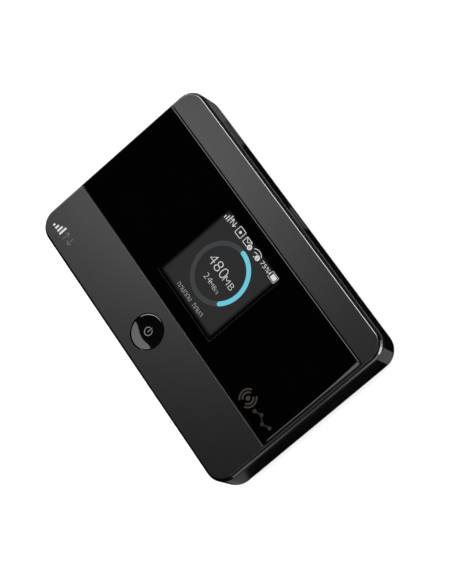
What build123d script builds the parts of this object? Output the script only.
from build123d import *
import os

# Pocket mobile hotspot, in millimetres.
# The device lies on its rear cover: +X along the long side, +Y towards the side with the USB port,
# +Z out of the front face. The origin is the middle of the rear face.

# ---------------------------------------------------------------- driving dimensions
LENGTH = 106.0          # X
WIDTH = 66.0            # Y
THICKNESS = 16.0        # Z
CORNER_R = 6.2          # corners of the outline, seen from the front
BACK_R = 5.8            # rounding between the side walls and the rear face

WALL = 1.2              # rear cover
FRAME_INSET = 1.4       # outside of the mid frame, inside the rear cover with 0.2 mm to spare
FRAME_WALL = 1.1
COVER_TOP = 13.8        # top edge of the rear cover's wall
PARTING = 0.1           # line between the rear cover and the front bezel
BEZEL_BOTTOM = COVER_TOP + PARTING
BEZEL_TOP = 15.3
BEZEL_CHAMFER = 0.55
BEZEL_LIP = 0.6         # width of the bezel's rim around the front cover
FRAME_TOP = 13.2        # top of the mid frame's wall, where the bezel sits
FRONT_BOTTOM = 14.3     # underside of the front cover
FRONT_GAP = 0.2         # groove between the front cover and the bezel
FRONT_EDGE_R = 0.35

# Glossy window along the whole front, in a channel of the front cover
CHANNEL_Y = (-14.1, 23.8)
CHANNEL_END = LENGTH / 2 - 1.25
CHANNEL_FLOOR = 14.95
WINDOW_X = (-52.05, 51.35)
WINDOW_Y = (-13.85, 23.4)
WINDOW_CHAMFER = 0.22
WINDOW_BEVEL = (0.85, 0.35)     # bevel across the +X end: run and drop
ADHESIVE = 0.1

# Display: centre of the lit area, and the module around it
DISPLAY_X = 0.9
DISPLAY_Y = 5.25
DISPLAY_SIZE = 27.6
GLASS = (30.4, 32.8)
GLASS_SHIFT = -1.15             # the glass runs further towards -Y, for its driver
GLASS_TOP = 14.9
GLASS_BOTTOM = 13.9
MODULE_BOTTOM = 12.2
SHEET = 0.2                     # stamped sheet metal
ANTENNA = 0.3                   # thickness of the antenna strips

# Power button
BUTTON_Y = -23.5
BUTTON_R = 5.5
BUTTON_HOLE_R = 5.7
BUTTON_TRAVEL = 0.35
BUTTON_TOP = 15.9
BUTTON_FILLET = 0.22
DISH_R = 5.25
DISH_DEPTH = 0.6        # at the middle
DISH_POWER = 4          # the hollow steepens towards its rim

# Switch under the button
SWITCH_HEIGHT = 1.8
PLUNGER_TOP = 12.6
STEM_R = 1.1
FLANGE_Z = (13.5, 14.1)
SYMBOL_BOTTOM = 14.9

# Flexible circuit of the display
GLASS_LEDGE = 1.6               # glass that overhangs the backlight at its -Y end
FLEX = 0.15
FLEX_WIDTH = 12.0
LCD_CONNECTOR_HEIGHT = 1.2

# Main board and the rear deck of the mid frame
BOARD_Z = (8.6, 9.6)
BOARD_SIZE = (99.6, 59.6)
FRAME_BACK = 1.5
FRAME_DECK = 1.2

# Battery and its bay
BATTERY_X = (-45.0, 15.0)
BATTERY_Y = (-21.0, 21.0)
BATTERY_Z = (1.5, 7.3)
BAY_GAP = 0.2
BAY_WALL = 1.0
BAY_FLOOR = 7.5
BATTERY_CAP_X = 12.4            # where the plastic end cap starts
FINGER_R = 4.0                  # finger recess at the bay's -X end
FINGER_DEPTH = 4.0
CONTACTS_Y = -15.0
CONTACT_PITCH = 2.4
CONNECTOR_WIDTH = 10.0
CONNECTOR_Z = 3.6

# Card pocket beside the battery bay
POCKET_X = (17.2, 47.4)
POCKET_Y = (-21.2, 21.2)

# Case screws, through the mid frame and the board into the front cover
SCREWS = [(-45.0, -25.6), (-45.0, 25.6), (45.0, -25.6), (45.0, 25.6)]
SCREW_R = 0.7
SCREW_HEAD_R = 1.5
SCREW_SEAT = 3.2
SCREW_TIP = 12.5
POST_R = 2.3

# Micro-USB port in the +Y wall
USB_X = 0.6
USB_Z = (9.6, 12.2)
USB_WIDTH = 7.5
USB_FACE = 31.9
USB_DEPTH = 5.0
NOTCH_WIDTH = 10.7
NOTCH_BOTTOM = 8.4

# SIM card, its socket, and the memory-card socket beside it
SIM_X = 25.2
SIM_CARD = (12.0, 15.0, 0.76)
SIM_REST_Y = -4.0               # outer end of the card when it is pushed home
SIM_BOTTOM = 7.4
SIM_SOCKET = (15.2, 14.6, 1.5)
SOCKET_MOUTH = -1.6             # Y of both sockets' open ends
SLOT_TOP = 8.25
SD_X = 40.4
SD_SOCKET = (13.2, 15.2, 1.9)
SD_CARD_WIDTH = 11.0

# Reset switch, reached with the rear cover off
RESET_AT = (40.4, -14.0)
RESET_FACE = 7.0

# Chips and shielding cans on the front of the board: x, y, width, depth, height
CHIPS = {
    "baseband_chip": (-34.0, 8.0, 12.0, 12.0, 1.1),
    "memory_chip": (-22.5, 8.0, 8.0, 9.0, 0.9),
    "wifi_chip": (34.0, 8.0, 8.0, 8.0, 0.8),
    "power_chip": (-29.0, -17.0, 7.0, 7.0, 0.8),
}
CANS = {
    "modem_shield": (-30.0, 7.0, 28.0, 24.0, 1.8),
    "wifi_shield": (34.0, 8.0, 19.0, 18.0, 1.6),
    "power_shield": (-28.0, -17.0, 22.0, 12.0, 1.6),
}


# ---------------------------------------------------------------- helpers
def block(x, y, z):
    """Box between two corners, each axis given as (low, high)."""
    size = Box(x[1] - x[0], y[1] - y[0], z[1] - z[0])
    return Pos((x[0] + x[1]) / 2, (y[0] + y[1]) / 2, (z[0] + z[1]) / 2) * size


def centred(x, y, width, depth, z):
    """Box given by its centre in X and Y, and its height as (low, high)."""
    return block((x - width / 2, x + width / 2), (y - depth / 2, y + depth / 2), z)


def disc(x, y, radius, z):
    """Upright cylinder, its height given as (low, high)."""
    return Pos(x, y, (z[0] + z[1]) / 2) * Cylinder(radius, z[1] - z[0])


def slab(inset, z):
    """The device's outline, drawn in by inset, raised from z[0] to z[1]."""
    outline = RectangleRounded(LENGTH - 2 * inset, WIDTH - 2 * inset, CORNER_R - inset)
    return Pos(0, 0, z[0]) * extrude(outline, z[1] - z[0])


def rounded_back(inset, top, bottom=None):
    """The device's body, drawn in by inset on its sides and back, up to the height top."""
    body = slab(inset, (inset if bottom is None else bottom, top))
    rear_face = body.faces().sort_by(Axis.Z)[0]
    return fillet(rear_face.edges(), BACK_R - inset)


def edges_at(part, z, tolerance=0.01):
    """Edges that lie flat at the height z."""
    return part.edges().filter_by_position(Axis.Z, z - tolerance, z + tolerance)


def can(x, y, width, depth, height):
    """Stamped shielding can on the front of the board, open underneath."""
    low = BOARD_Z[1]
    outside = centred(x, y, width, depth, (low, low + height))
    outside = fillet(outside.edges().filter_by(Axis.Z), 0.8)
    inside = centred(x, y, width - 2 * SHEET, depth - 2 * SHEET, (low, low + height - SHEET))
    holes = [disc(x + dx * width / 4, y + dy * depth / 4, 0.5, (low, low + height + 1))
             for dx in (-1, 0, 1) for dy in (-1, 1)]
    return outside - inside - Compound(children=holes)


def save(name, shape):
    """Write one node."""
    export_step(shape, f"parts/{name}.step")
    print(name, round(shape.volume, 2))


# ---------------------------------------------------------------- casing
def rear_cover():
    """Deep glossy tray that forms the rear face and the side walls."""
    tray = rounded_back(0, COVER_TOP) - rounded_back(WALL, COVER_TOP + 1)
    notch = centred(USB_X, WIDTH / 2, NOTCH_WIDTH, 4.0, (NOTCH_BOTTOM, COVER_TOP + 2))
    notch = fillet(notch.edges().filter_by(Axis.Y).group_by(Axis.Z)[0], 1.2)
    lift_notch = centred(-30.0, -WIDTH / 2, 9.0, 1.0, (COVER_TOP - 0.7, COVER_TOP + 1))
    tray = tray - notch - lift_notch
    for x in (-36.0, -12.0, 16.0, 38.0):
        for side in (-1, 1):
            face = side * (WIDTH / 2 - WALL)
            rib = centred(x, face - side * 0.02, 6.0, 0.2, (10.6, 11.6))
            tray = tray + rib
    return tray


def front_bezel():
    """Thin rim between the rear cover's wall and the front cover, with a ledge inside."""
    rim = slab(0, (BEZEL_BOTTOM, BEZEL_TOP))
    rim = chamfer(edges_at(rim, BEZEL_TOP), BEZEL_CHAMFER)
    skirt = slab(FRAME_INSET, (FRAME_TOP, BEZEL_BOTTOM))
    opening = slab(FRAME_INSET + FRAME_WALL + 0.1, (FRAME_TOP - 1, BEZEL_TOP + 1))
    seat = slab(BEZEL_LIP, (FRONT_BOTTOM, BEZEL_TOP + 1))
    return rim + skirt - opening - seat


def front_cover():
    """Matte cover: two flat strips beside the channel for the window, and four screw bosses."""
    inset = BEZEL_LIP + FRONT_GAP
    plate = slab(inset, (FRONT_BOTTOM, THICKNESS))
    plate = fillet(edges_at(plate, THICKNESS), FRONT_EDGE_R)
    channel = block((-LENGTH, CHANNEL_END), CHANNEL_Y, (CHANNEL_FLOOR, THICKNESS + 1))
    plate = plate - channel
    long_edges = edges_at(plate, THICKNESS).filter_by(Axis.X)
    lips = [e for e in long_edges if CHANNEL_Y[0] - 0.1 < e.center().Y < CHANNEL_Y[1] + 0.1]
    plate = fillet(lips, 0.15)
    display = centred(DISPLAY_X, DISPLAY_Y + GLASS_SHIFT, GLASS[0] + 0.6, GLASS[1] + 0.6,
                      (FRONT_BOTTOM - 1, THICKNESS + 1))
    plate = plate - display - disc(0, BUTTON_Y, BUTTON_HOLE_R, (FRONT_BOTTOM - 1, THICKNESS + 1))
    button_rim = [e for e in edges_at(plate, THICKNESS).filter_by(GeomType.CIRCLE)
                  if abs(e.radius - BUTTON_HOLE_R) < 0.01]
    plate = fillet(button_rim, 0.12)
    for x, y in SCREWS:
        boss = disc(x, y, 2.0, (BOARD_Z[1] + 0.05, FRONT_BOTTOM))
        pilot = disc(x, y, SCREW_R + 0.02, (BOARD_Z[1] - 1, FRONT_BOTTOM - 0.6))
        plate = plate + boss - pilot
    return plate


def window_panel():
    """Glossy black panel with a bevel across its +X end and a fine chamfer along both sides."""
    low = CHANNEL_FLOOR + ADHESIVE
    panel = block(WINDOW_X, WINDOW_Y, (low, THICKNESS))
    run, drop = WINDOW_BEVEL
    end = edges_at(panel, THICKNESS).group_by(Axis.X)[-1]
    top = panel.faces().sort_by(Axis.Z)[-1]
    panel = chamfer(end, drop, run, reference=top)
    sides = edges_at(panel, THICKNESS).filter_by(Axis.X)
    return chamfer(sides, WINDOW_CHAMFER)


def window_adhesive():
    """Adhesive sheet under the window, cut out over the display."""
    sheet = block((WINDOW_X[0] + 0.4, WINDOW_X[1] - 0.4), (WINDOW_Y[0] + 0.4, WINDOW_Y[1] - 0.4),
                  (CHANNEL_FLOOR, CHANNEL_FLOOR + ADHESIVE))
    cut = centred(DISPLAY_X, DISPLAY_Y + GLASS_SHIFT, GLASS[0] + 1.6, GLASS[1] + 1.2, (14, 16))
    return sheet - cut


def mid_frame():
    """Inner frame: side wall, rear deck, battery bay, card pocket and screw posts."""
    outside = rounded_back(FRAME_INSET, FRAME_TOP)
    outside = outside & block((-60, 60), (-40, 40), (FRAME_BACK, THICKNESS))
    hollow_inset = FRAME_INSET + FRAME_WALL
    frame = outside - rounded_back(hollow_inset, FRAME_TOP + 1, bottom=FRAME_BACK + FRAME_DECK)
    board_side = BOARD_Z[0]
    bay_x = (BATTERY_X[0] - BAY_GAP, BATTERY_X[1] + BAY_GAP)
    bay_y = (BATTERY_Y[0] - BAY_GAP, BATTERY_Y[1] + BAY_GAP)
    frame = frame + block((bay_x[0] - BAY_WALL, bay_x[1] + BAY_WALL),
                          (bay_y[0] - BAY_WALL, bay_y[1] + BAY_WALL), (FRAME_BACK, board_side))
    frame = frame + block((bay_x[1], POCKET_X[1] + BAY_WALL),
                          (POCKET_Y[0] - BAY_WALL, POCKET_Y[1] + BAY_WALL), (FRAME_BACK, board_side))
    frame = frame + disc(bay_x[0], 0, FINGER_R + BAY_WALL, (FRAME_BACK, FINGER_DEPTH + BAY_WALL))
    for x, y in SCREWS:
        frame = frame + disc(x, y, POST_R, (FRAME_BACK, board_side))
    frame = frame & outside
    for x, y in SCREWS:
        frame = frame - disc(x, y, SCREW_HEAD_R + 0.3, (0, SCREW_SEAT))
        frame = frame - disc(x, y, SCREW_R + 0.2, (0, board_side + 1))
    frame = frame - block(bay_x, bay_y, (0, BAY_FLOOR))
    frame = frame - block(POCKET_X, POCKET_Y, (0, board_side + 1))
    frame = frame - block((bay_x[1] - 1, POCKET_X[0] + 1),
                          (CONTACTS_Y - CONNECTOR_WIDTH / 2 - 0.2, CONTACTS_Y + CONNECTOR_WIDTH / 2 + 0.2),
                          (CONNECTOR_Z - 0.2, board_side + 1))
    frame = frame - disc(bay_x[0], 0, FINGER_R, (0, FINGER_DEPTH))
    usb_hole = block((USB_X - USB_WIDTH / 2 - 0.15, USB_X + USB_WIDTH / 2 + 0.15), (29, 33),
                     (USB_Z[0] - 0.15, USB_Z[1] + 0.15))
    return frame - usb_hole


def case_screws():
    """Four pan-head screws with cross recesses."""
    screws = []
    for x, y in SCREWS:
        head = disc(x, y, SCREW_HEAD_R, (SCREW_SEAT - 0.9, SCREW_SEAT))
        head = fillet(edges_at(head, SCREW_SEAT - 0.9), 0.3)
        for width, depth in ((1.6, 0.3), (0.3, 1.6)):
            head = head - centred(x, y, width, depth, (0, SCREW_SEAT - 0.5))
        screws.append(head + disc(x, y, SCREW_R, (SCREW_SEAT, SCREW_TIP)))
    return Compound(children=screws)


def rating_label():
    """Blank label on the floor of the battery bay."""
    label = centred(-10, 0, 34, 24, (BAY_FLOOR - 0.08, BAY_FLOOR))
    return fillet(label.edges().filter_by(Axis.Z), 1.5)


# ---------------------------------------------------------------- display
def module_box(margin, z, short=0.0):
    """Box round the display glass, its -Y end drawn in by short."""
    x = (DISPLAY_X - GLASS[0] / 2 - margin, DISPLAY_X + GLASS[0] / 2 + margin)
    middle = DISPLAY_Y + GLASS_SHIFT
    y = (middle - GLASS[1] / 2 - margin + short, middle + GLASS[1] / 2 + margin)
    return block(x, y, z)


def lcd_panel():
    """Glass of the display."""
    return module_box(0, (GLASS_BOTTOM, GLASS_TOP))


def lcd_backlight():
    """Light guide and films under the glass."""
    return module_box(0.1, (MODULE_BOTTOM + SHEET, GLASS_BOTTOM), short=GLASS_LEDGE)


def lcd_frame():
    """Stamped tray round the backlight."""
    tray = module_box(0.1 + SHEET, (MODULE_BOTTOM, GLASS_BOTTOM), short=GLASS_LEDGE)
    return tray - lcd_backlight()


def lcd_flex():
    """Flexible circuit from the glass round to its connector on the board."""
    edge = DISPLAY_Y + GLASS_SHIFT - GLASS[1] / 2
    back = edge - 1.4
    x = (DISPLAY_X - FLEX_WIDTH / 2, DISPLAY_X + FLEX_WIDTH / 2)
    low = BOARD_Z[1] + LCD_CONNECTOR_HEIGHT
    loop = block(x, (back, edge + 1.2), (low, GLASS_BOTTOM))
    loop = fillet(loop.edges().filter_by(Axis.X).group_by(Axis.Y)[0], 1.2)
    core = block(x, (back + FLEX, edge + 3), (low + FLEX, GLASS_BOTTOM - FLEX))
    core = fillet(core.edges().filter_by(Axis.X).group_by(Axis.Y)[0], 1.2 - FLEX)
    tail = block(x, (edge + 1.2, edge + 5.0), (low, low + FLEX))
    return loop - core + tail


def lcd_connector():
    """Socket on the board for the display's flexible circuit."""
    edge = DISPLAY_Y + GLASS_SHIFT - GLASS[1] / 2
    low = BOARD_Z[1]
    body = centred(DISPLAY_X, edge + 3.6, FLEX_WIDTH + 1.0, 3.0, (low, low + LCD_CONNECTOR_HEIGHT))
    return chamfer(body.edges().filter_by(Axis.Z), 0.3)


def lcd_bracket():
    """Plastic cradle that carries the display above the board."""
    outside = module_box(0.1 + SHEET + 0.8, (MODULE_BOTTOM - 0.5, GLASS_BOTTOM - 0.4))
    inside = module_box(0.1 + SHEET + 0.1, (MODULE_BOTTOM, GLASS_TOP))
    window = module_box(-3.0, (0, GLASS_TOP))
    cradle = outside - inside - window
    middle = DISPLAY_Y + GLASS_SHIFT
    for sx in (-1, 1):
        for sy in (-1, 1):
            x, y = DISPLAY_X + sx * (GLASS[0] / 2 - 0.5), middle + sy * (GLASS[1] / 2 - 0.5)
            cradle = cradle + centred(x, y, 2.4, 2.4, (BOARD_Z[1], MODULE_BOTTOM - 0.5))
    gate_z = (MODULE_BOTTOM + 0.2, GLASS_TOP)
    return cradle - centred(DISPLAY_X, middle - GLASS[1] / 2, FLEX_WIDTH + 2, 3.0, gate_z)


def display_gasket():
    """Foam frame between the display glass and the window."""
    z = (GLASS_TOP, CHANNEL_FLOOR + ADHESIVE)
    ring = module_box(-0.2, z)
    return ring - centred(DISPLAY_X, DISPLAY_Y, DISPLAY_SIZE + 0.6, DISPLAY_SIZE + 0.6, (10, 20))


# ---------------------------------------------------------------- power button
def key_blank():
    """Turned key without its symbol: hollow face, eased rim, retaining flange and stem."""
    shares = [k / 6 for k in range(7)]
    face = [(DISH_R * share, 0, BUTTON_TOP - DISH_DEPTH * (1 - share ** DISH_POWER)) for share in shares]
    hollow = Spline(*face, tangents=((1, 0, 0), (DISH_R, 0, DISH_POWER * DISH_DEPTH)))
    rim_x, rim_z = BUTTON_R - BUTTON_FILLET, BUTTON_TOP - BUTTON_FILLET
    half = BUTTON_FILLET * 0.5 ** 0.5
    rim = ThreePointArc((rim_x, 0, BUTTON_TOP), (rim_x + half, 0, rim_z + half), (BUTTON_R, 0, rim_z))
    flange_r = BUTTON_R + 0.9
    side = Polyline((BUTTON_R, 0, rim_z), (BUTTON_R, 0, FLANGE_Z[1]), (flange_r, 0, FLANGE_Z[1]),
                    (flange_r, 0, FLANGE_Z[0]), (STEM_R, 0, FLANGE_Z[0]), (STEM_R, 0, PLUNGER_TOP),
                    (0, 0, PLUNGER_TOP), face[0])
    section = Face(Wire([hollow, Line(face[-1], (rim_x, 0, BUTTON_TOP)), rim, *side.edges()]))
    return Pos(0, BUTTON_Y, 0) * revolve(section, Axis.Z)


def power_mark():
    """Outline of the power symbol as a tall block: an open ring and a bar."""
    y = BUTTON_Y + 0.3
    z = (SYMBOL_BOTTOM, BUTTON_TOP)
    ring = disc(0, y, 1.4, z) - disc(0, y, 1.1, z)
    gap = centred(0, y + 1.2, 1.3, 1.2, z)
    bar = centred(0, y + 0.55, 0.3, 1.9, z)
    bar = fillet(bar.edges().filter_by(Axis.Z), 0.12)
    return (ring - gap) + bar


def power_button():
    """Round key, cut out for its symbol."""
    return key_blank() - power_mark()


def power_symbol():
    """Pale symbol let into the key, flush with its hollow face."""
    return power_mark() & key_blank()


def power_switch():
    """Tactile switch on the board, with a well for its plunger."""
    low, top = BOARD_Z[1], BOARD_Z[1] + SWITCH_HEIGHT
    base = centred(0, BUTTON_Y, 6.0, 6.0, (low, top))
    base = chamfer(base.edges().filter_by(Axis.Z), 0.6)
    well = disc(0, BUTTON_Y, 1.35, (top - 2 * BUTTON_TRAVEL, top + 1))
    return base - well


def switch_plunger():
    """Plunger between the switch and the button's stem."""
    top = BOARD_Z[1] + SWITCH_HEIGHT
    return disc(0, BUTTON_Y, 1.2, (top - 0.2, PLUNGER_TOP))


# ---------------------------------------------------------------- board
def main_board():
    """Circuit board, resting on the mid frame's posts and walls."""
    board = RectangleRounded(BOARD_SIZE[0], BOARD_SIZE[1], 3.0)
    board = Pos(0, 0, BOARD_Z[0]) * extrude(board, BOARD_Z[1] - BOARD_Z[0])
    for x, y in SCREWS:
        board = board - disc(x, y, SCREW_R + 0.2, (0, 20))
    return board


def chip(x, y, width, depth, height):
    """Moulded chip on the front of the board, with its pin-one dimple."""
    low = BOARD_Z[1]
    body = centred(x, y, width, depth, (low, low + height))
    return body - disc(x - width / 2 + 1, y + depth / 2 - 1, 0.3, (low + height - 0.1, low + height + 1))


def thermal_pad():
    """Soft pad that carries the processor's heat into its can."""
    x, y, width, depth, height = CHIPS["baseband_chip"]
    top = BOARD_Z[1] + CANS["modem_shield"][4] - SHEET
    return centred(x, y, width - 2, depth - 2, (BOARD_Z[1] + height, top))


def board_components():
    """Rows of small capacitors and coils on the front of the board."""
    low = BOARD_Z[1]
    rows = [centred(-10 + 3.4 * i, -2 + 4.0 * j, 1.6, 0.8, (low, low + 0.6))
            for i in range(7) for j in range(4)]
    coils = [centred(23 + 4.6 * i, -12, 3.0, 3.0, (low, low + 1.2)) for i in range(4)]
    return Compound(children=rows + coils)


def antenna(wall, start, end):
    """Thin strip with a slotted pattern, on the inside of one side wall."""
    inner = FRAME_INSET + FRAME_WALL
    z = (BOARD_Z[1] + 0.3, FRAME_TOP - 0.3)
    bridge = 0.8
    slots = [(start + (end - start) * k / 6, k % 2) for k in range(1, 6)]
    if wall == "-Y":
        face = -(WIDTH / 2 - inner)
        strip = block((start, end), (face, face + ANTENNA), z)
    else:
        side = -1 if wall == "-X" else 1
        face = side * (LENGTH / 2 - inner)
        strip = block(sorted((face, face - side * ANTENNA)), (start, end), z)
    for at, up in slots:
        slot_z = (z[0] + bridge, z[1] + 0.1) if up else (z[0] - 0.1, z[1] - bridge)
        if wall == "-Y":
            strip = strip - centred(at, face, 0.6, 2, slot_z)
        else:
            strip = strip - centred(face, at, 2, 0.6, slot_z)
    return strip


def antenna_clips():
    """Spring clips that join the board to the three antennas."""
    low = BOARD_Z[1]
    places = [(-49.0, -8.0, 1.2, 2.0), (49.0, 10.0, 1.2, 2.0), (30.0, -29.0, 2.0, 1.2)]
    return Compound(children=[centred(x, y, w, d, (low, low + 1.4)) for x, y, w, d in places])


# ---------------------------------------------------------------- USB port
def usb_shell():
    """Stamped shell of the micro-USB socket, with its two sloped lower corners."""
    def profile(margin, y):
        body = block((USB_X - USB_WIDTH / 2 + margin, USB_X + USB_WIDTH / 2 - margin), y,
                     (USB_Z[0] + margin, USB_Z[1] - margin))
        return chamfer(body.edges().filter_by(Axis.Y).group_by(Axis.Z)[0], 0.9 - margin * 0.4)
    outside = profile(0, (USB_FACE - USB_DEPTH, USB_FACE))
    return outside - profile(SHEET + 0.05, (USB_FACE - USB_DEPTH - 1, USB_FACE + 1))


def usb_insulator():
    """Plastic back and tongue inside the shell."""
    back = block((USB_X - 2.6, USB_X + 2.6), (USB_FACE - USB_DEPTH, USB_FACE - USB_DEPTH + 1.2),
                 (USB_Z[0] + 0.3, USB_Z[1] - 0.3))
    tongue = block((USB_X - 1.85, USB_X + 1.85), (USB_FACE - USB_DEPTH, USB_FACE - 0.9),
                   (USB_Z[0] + 1.35, USB_Z[0] + 1.95))
    return back + tongue


def usb_contacts():
    """Five contacts on the tongue's lower face."""
    z = (USB_Z[0] + 1.27, USB_Z[0] + 1.35)
    return Compound(children=[centred(USB_X + 0.65 * k, USB_FACE - 2.3, 0.35, 2.6, z) for k in range(-2, 3)])


# ---------------------------------------------------------------- card sockets
def socket_base(x, size):
    """Plastic base of a card socket, under the board."""
    width, depth, _ = size
    return centred(x, SOCKET_MOUTH + depth / 2, width, depth, (SLOT_TOP, BOARD_Z[0]))


def socket_shell(x, size, card_width, slot_bottom):
    """Stamped shell of a card socket, with its slot open towards -Y."""
    width, depth, height = size
    shell = centred(x, SOCKET_MOUTH + depth / 2, width, depth, (BOARD_Z[0] - height, SLOT_TOP))
    slot = block((x - card_width / 2 - 0.15, x + card_width / 2 + 0.15),
                 (SOCKET_MOUTH - 1, SOCKET_MOUTH + depth - 1.0), (slot_bottom, SLOT_TOP + 1))
    shell = shell - slot
    for k in (-1, 1):
        shell = shell - centred(x + k * width / 5, SOCKET_MOUTH + depth * 0.6, 2.0, 4.0, (0, SLOT_TOP))
    return shell


def sim_contacts():
    """Six leaf contacts above the SIM card."""
    z = (SLOT_TOP - 0.06, SLOT_TOP)
    return Compound(children=[centred(SIM_X + 2.54 * i, SOCKET_MOUTH + 5 + 4 * j, 0.9, 2.4, z)
                              for i in (-1, 0, 1) for j in (0, 1)])


def sim_card():
    """Micro-SIM card with its cut corner, a little out of the socket's mouth."""
    width, length, thick = SIM_CARD
    card = centred(SIM_X, SIM_REST_Y + length / 2, width, length, (SIM_BOTTOM, SIM_BOTTOM + thick))
    corner = card.edges().filter_by(Axis.Z).sort_by(lambda e: e.center().X + e.center().Y)[-1]
    return chamfer(corner, 2.4)


def reset_switch():
    """Small tactile switch under the board, with a well for its plunger."""
    x, y = RESET_AT
    base = centred(x, y, 3.6, 3.6, (RESET_FACE, BOARD_Z[0]))
    return base - disc(x, y, 0.85, (RESET_FACE - 1, RESET_FACE + 0.5))


def reset_plunger():
    """Plunger of the reset switch."""
    x, y = RESET_AT
    return disc(x, y, 0.7, (RESET_FACE - 0.8, RESET_FACE + 0.2))


# ---------------------------------------------------------------- battery and its contacts
def battery_cell():
    """Battery body with rounded long edges."""
    cell = block((BATTERY_X[0], BATTERY_CAP_X), BATTERY_Y, BATTERY_Z)
    cell = fillet(cell.edges().filter_by(Axis.X), 1.2)
    return fillet(cell.faces().sort_by(Axis.X)[0].edges(), 0.5)


def battery_cap():
    """Plastic end of the battery, recessed for the four terminals."""
    cap = block((BATTERY_CAP_X, BATTERY_X[1]), BATTERY_Y, BATTERY_Z)
    cap = fillet(cap.edges().filter_by(Axis.X), 1.2)
    return cap - battery_terminals()


def contact_places():
    """Y of each of the four contacts."""
    return [CONTACTS_Y + CONTACT_PITCH * (k - 1.5) for k in range(4)]


def battery_terminals():
    """Four plated pads, flush with the battery's end."""
    x = (BATTERY_X[1] - 0.15, BATTERY_X[1])
    return Compound(children=[block(x, (y - 0.8, y + 0.8), (4.2, 6.8)) for y in contact_places()])


def battery_label():
    """Blank wrapper on the battery's rear face."""
    label = block((BATTERY_X[0] + 2, BATTERY_CAP_X - 1), (BATTERY_Y[0] + 1.6, BATTERY_Y[1] - 1.6),
                  (BATTERY_Z[0] - 0.1, BATTERY_Z[0]))
    return fillet(label.edges().filter_by(Axis.Z), 1.0)


def battery_connector():
    """Block under the board that holds the four spring contacts."""
    x = (BATTERY_X[1] + 0.5, BATTERY_X[1] + 3.3)
    body = block(x, (CONTACTS_Y - CONNECTOR_WIDTH / 2, CONTACTS_Y + CONNECTOR_WIDTH / 2),
                 (CONNECTOR_Z, BOARD_Z[0]))
    for y in contact_places():
        body = body - block((x[0] - 1, x[1] - 0.4), (y - 0.6, y + 0.6), (4.7, 6.3))
    return body


def battery_contacts():
    """Four sprung fingers that press on the battery's terminals."""
    x = (BATTERY_X[1] + 0.05, BATTERY_X[1] + 2.3)
    fingers = []
    for y in contact_places():
        finger = block(x, (y - 0.5, y + 0.5), (4.8, 6.2))
        nose = finger.edges().filter_by(Axis.Y).group_by(Axis.X)[0]
        fingers.append(fillet(nose, 0.5))
    return Compound(children=fingers)


# ---------------------------------------------------------------- all nodes
def nodes():
    """Every node of the device, by name."""
    parts = {
        "rear_cover": rear_cover(),
        "front_bezel": front_bezel(),
        "front_cover": front_cover(),
        "window_panel": window_panel(),
        "window_adhesive": window_adhesive(),
        "mid_frame": mid_frame(),
        "case_screws": case_screws(),
        "rating_label": rating_label(),
        "lcd_panel": lcd_panel(),
        "lcd_backlight": lcd_backlight(),
        "lcd_frame": lcd_frame(),
        "lcd_flex": lcd_flex(),
        "lcd_connector": lcd_connector(),
        "lcd_bracket": lcd_bracket(),
        "display_gasket": display_gasket(),
        "power_button": power_button(),
        "power_symbol": power_symbol(),
        "power_switch": power_switch(),
        "switch_plunger": switch_plunger(),
        "main_board": main_board(),
        "thermal_pad": thermal_pad(),
        "board_components": board_components(),
        "main_antenna": antenna("-X", -22.0, 22.0),
        "diversity_antenna": antenna("+X", -22.0, 14.0),
        "wifi_antenna": antenna("-Y", 16.0, 42.0),
        "antenna_clips": antenna_clips(),
        "usb_shell": usb_shell(),
        "usb_insulator": usb_insulator(),
        "usb_contacts": usb_contacts(),
        "sim_socket": socket_base(SIM_X, SIM_SOCKET),
        "sim_shell": socket_shell(SIM_X, SIM_SOCKET, SIM_CARD[0], SIM_BOTTOM - 0.05),
        "sim_contacts": sim_contacts(),
        "sim_card": sim_card(),
        "memory_socket": socket_base(SD_X, SD_SOCKET),
        "memory_shell": socket_shell(SD_X, SD_SOCKET, SD_CARD_WIDTH, SLOT_TOP - 0.8),
        "reset_switch": reset_switch(),
        "reset_plunger": reset_plunger(),
        "battery_cell": battery_cell(),
        "battery_cap": battery_cap(),
        "battery_terminals": battery_terminals(),
        "battery_label": battery_label(),
        "battery_connector": battery_connector(),
        "battery_contacts": battery_contacts(),
    }
    for name, place in CHIPS.items():
        parts[name] = chip(*place)
    for name, place in CANS.items():
        parts[name] = can(*place)
    return parts


if __name__ == "__main__":
    os.makedirs("parts", exist_ok=True)
    for node, shape in nodes().items():
        save(node, shape)
